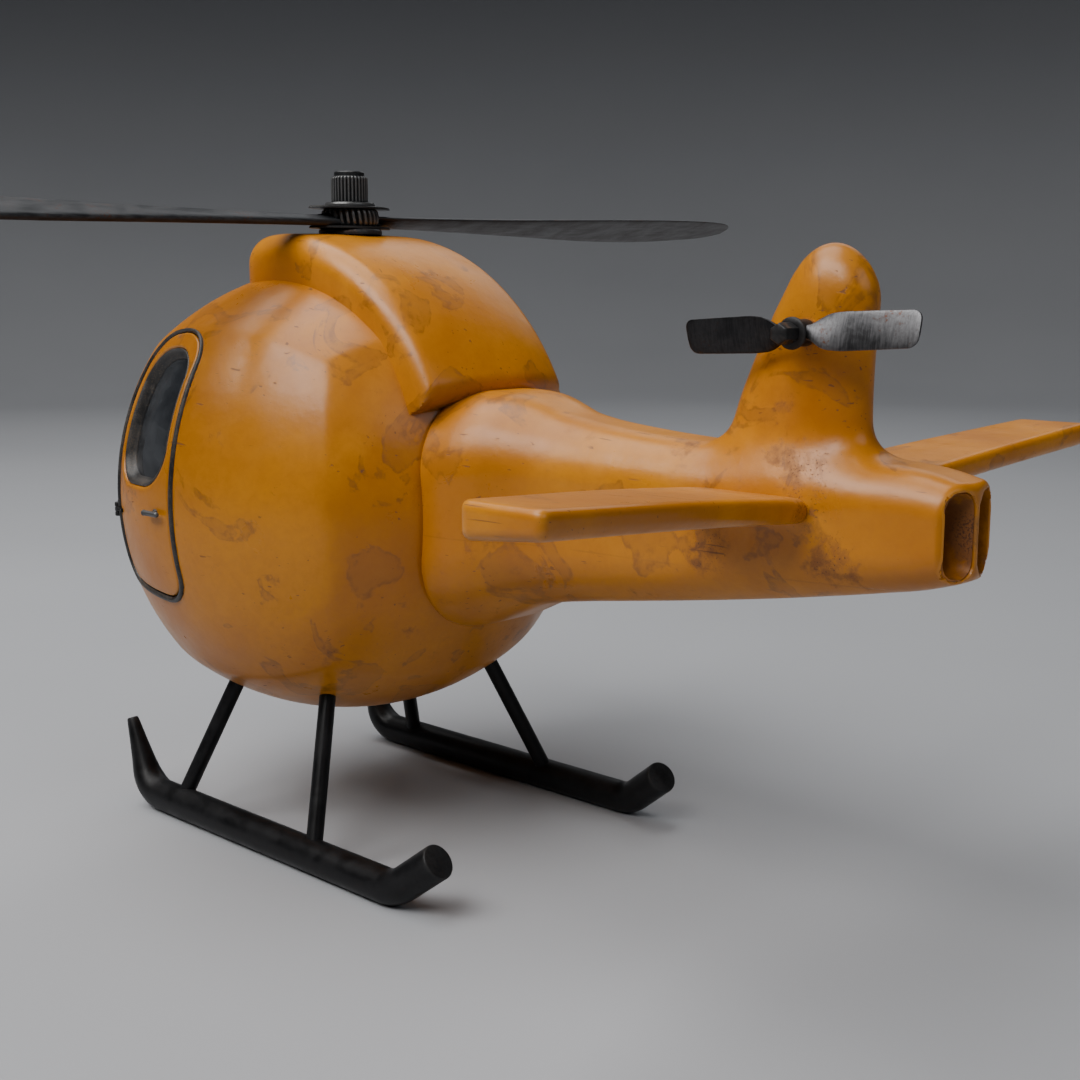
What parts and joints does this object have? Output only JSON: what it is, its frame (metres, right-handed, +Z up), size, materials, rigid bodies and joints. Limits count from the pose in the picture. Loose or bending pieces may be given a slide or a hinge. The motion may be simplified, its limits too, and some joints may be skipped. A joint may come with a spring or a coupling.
{
  "type": "toy helicopter",
  "caption": "Yellow metal toy helicopter: hollow ball-shaped pod with opening doors, tail boom with fin and stabilisers, skids, and free-spinning main and tail rotors.",
  "frame": {"origin": "on the ground, under the middle of the object's bounding box", "axes": "+X towards the nose, +Y to port (left), which the main rotor spans at rest, +Z up"},
  "size_m": [0.2024, 0.278, 0.1427],
  "materials": {
    "yellow_paint": "satin yellow-orange enamel with wear and rust stains",
    "black_enamel": "semi-gloss black",
    "black_rubber": "matt black bead",
    "smoked_glass": "dark smoked",
    "brass_bush": "turned",
    "dark_blade": "dark grey with a rusty edge",
    "brushed_blade": "brushed and scratched",
    "bare_steel": "plain steel",
    "gunmetal": "dark oiled metal",
    "cabin_lining": "dark grey"
  },
  "bodies": {
    "airframe": {"boom_lower_shell": "yellow_paint", "boom_screws": "bare_steel", "boom_upper_shell": "yellow_paint", "cabin_floor": "cabin_lining", "cowl_screws": "bare_steel", "door_seal_port": "black_rubber", "door_seal_starboard": "black_rubber", "engine_cowl": "yellow_paint", "exhaust_insert": "yellow_paint", "hinge_bracket_port": "bare_steel", "hinge_bracket_starboard": "bare_steel", "hinge_pin_port": "bare_steel", "hinge_pin_starboard": "bare_steel", "leg_front_port": "black_enamel", "leg_front_starboard": "black_enamel", "leg_rear_port": "black_enamel", "leg_rear_starboard": "black_enamel", "mast_bush": "brass_bush", "pod_screws": "bare_steel", "pod_shell_port": "yellow_paint", "pod_shell_starboard": "yellow_paint", "rotor_base_ring": "gunmetal", "skid_port": "black_enamel", "skid_starboard": "black_enamel", "stabiliser_port": "yellow_paint", "stabiliser_starboard": "yellow_paint", "tail_bush": "brass_bush", "windscreen": "smoked_glass", "windscreen_seal": "black_rubber"},
    "main_rotor": {"hub_cap": "gunmetal", "hub_collar": "gunmetal", "lower_yoke_plate": "gunmetal", "mast_clip": "bare_steel", "rotor_blade_port": "dark_blade", "rotor_blade_starboard": "dark_blade", "rotor_knob": "gunmetal", "rotor_mast": "bare_steel", "upper_yoke_plate": "gunmetal"},
    "tail_rotor": {"tail_blade_front": "brushed_blade", "tail_blade_rear": "brushed_blade", "tail_hub": "gunmetal", "tail_nut": "bare_steel", "tail_shaft": "gunmetal", "tail_washer": "gunmetal"},
    "door_port": {"door_panel_port": "yellow_paint", "window_gasket_port": "black_rubber", "window_glass_port": "smoked_glass"},
    "door_starboard": {"door_panel_starboard": "yellow_paint", "window_gasket_starboard": "black_rubber", "window_glass_starboard": "smoked_glass"},
    "handle_port": {"door_handle_port": "bare_steel"},
    "handle_starboard": {"door_handle_starboard": "bare_steel"}
  },
  "joints": [
    {"name": "main_rotor_spin", "type": "hinge", "parent": "airframe", "child": "main_rotor", "pos_m": [0.04985, 0, 0.12], "axis": [0, 0, 1], "continuous": true},
    {"name": "tail_rotor_spin", "type": "hinge", "parent": "airframe", "child": "tail_rotor", "pos_m": [-0.07285, 0, 0.1109], "axis": [0, 1, 0], "continuous": true},
    {"name": "door_port_swing", "type": "hinge", "parent": "airframe", "child": "door_port", "pos_m": [0.07818, 0.0432, 0.0735], "axis": [0, 0, -1], "range_deg": [0, 75]},
    {"name": "door_starboard_swing", "type": "hinge", "parent": "airframe", "child": "door_starboard", "pos_m": [0.07818, -0.0432, 0.0735], "axis": [0, 0, 1], "range_deg": [0, 75]},
    {"name": "handle_port_turn", "type": "hinge", "parent": "door_port", "child": "handle_port", "pos_m": [0.05425, 0.0495, 0.0726], "axis": [0, 1, 0], "range_deg": [0, 90]},
    {"name": "handle_starboard_turn", "type": "hinge", "parent": "door_starboard", "child": "handle_starboard", "pos_m": [0.05425, -0.0495, 0.0726], "axis": [0, -1, 0], "range_deg": [0, 90]}
  ]
}
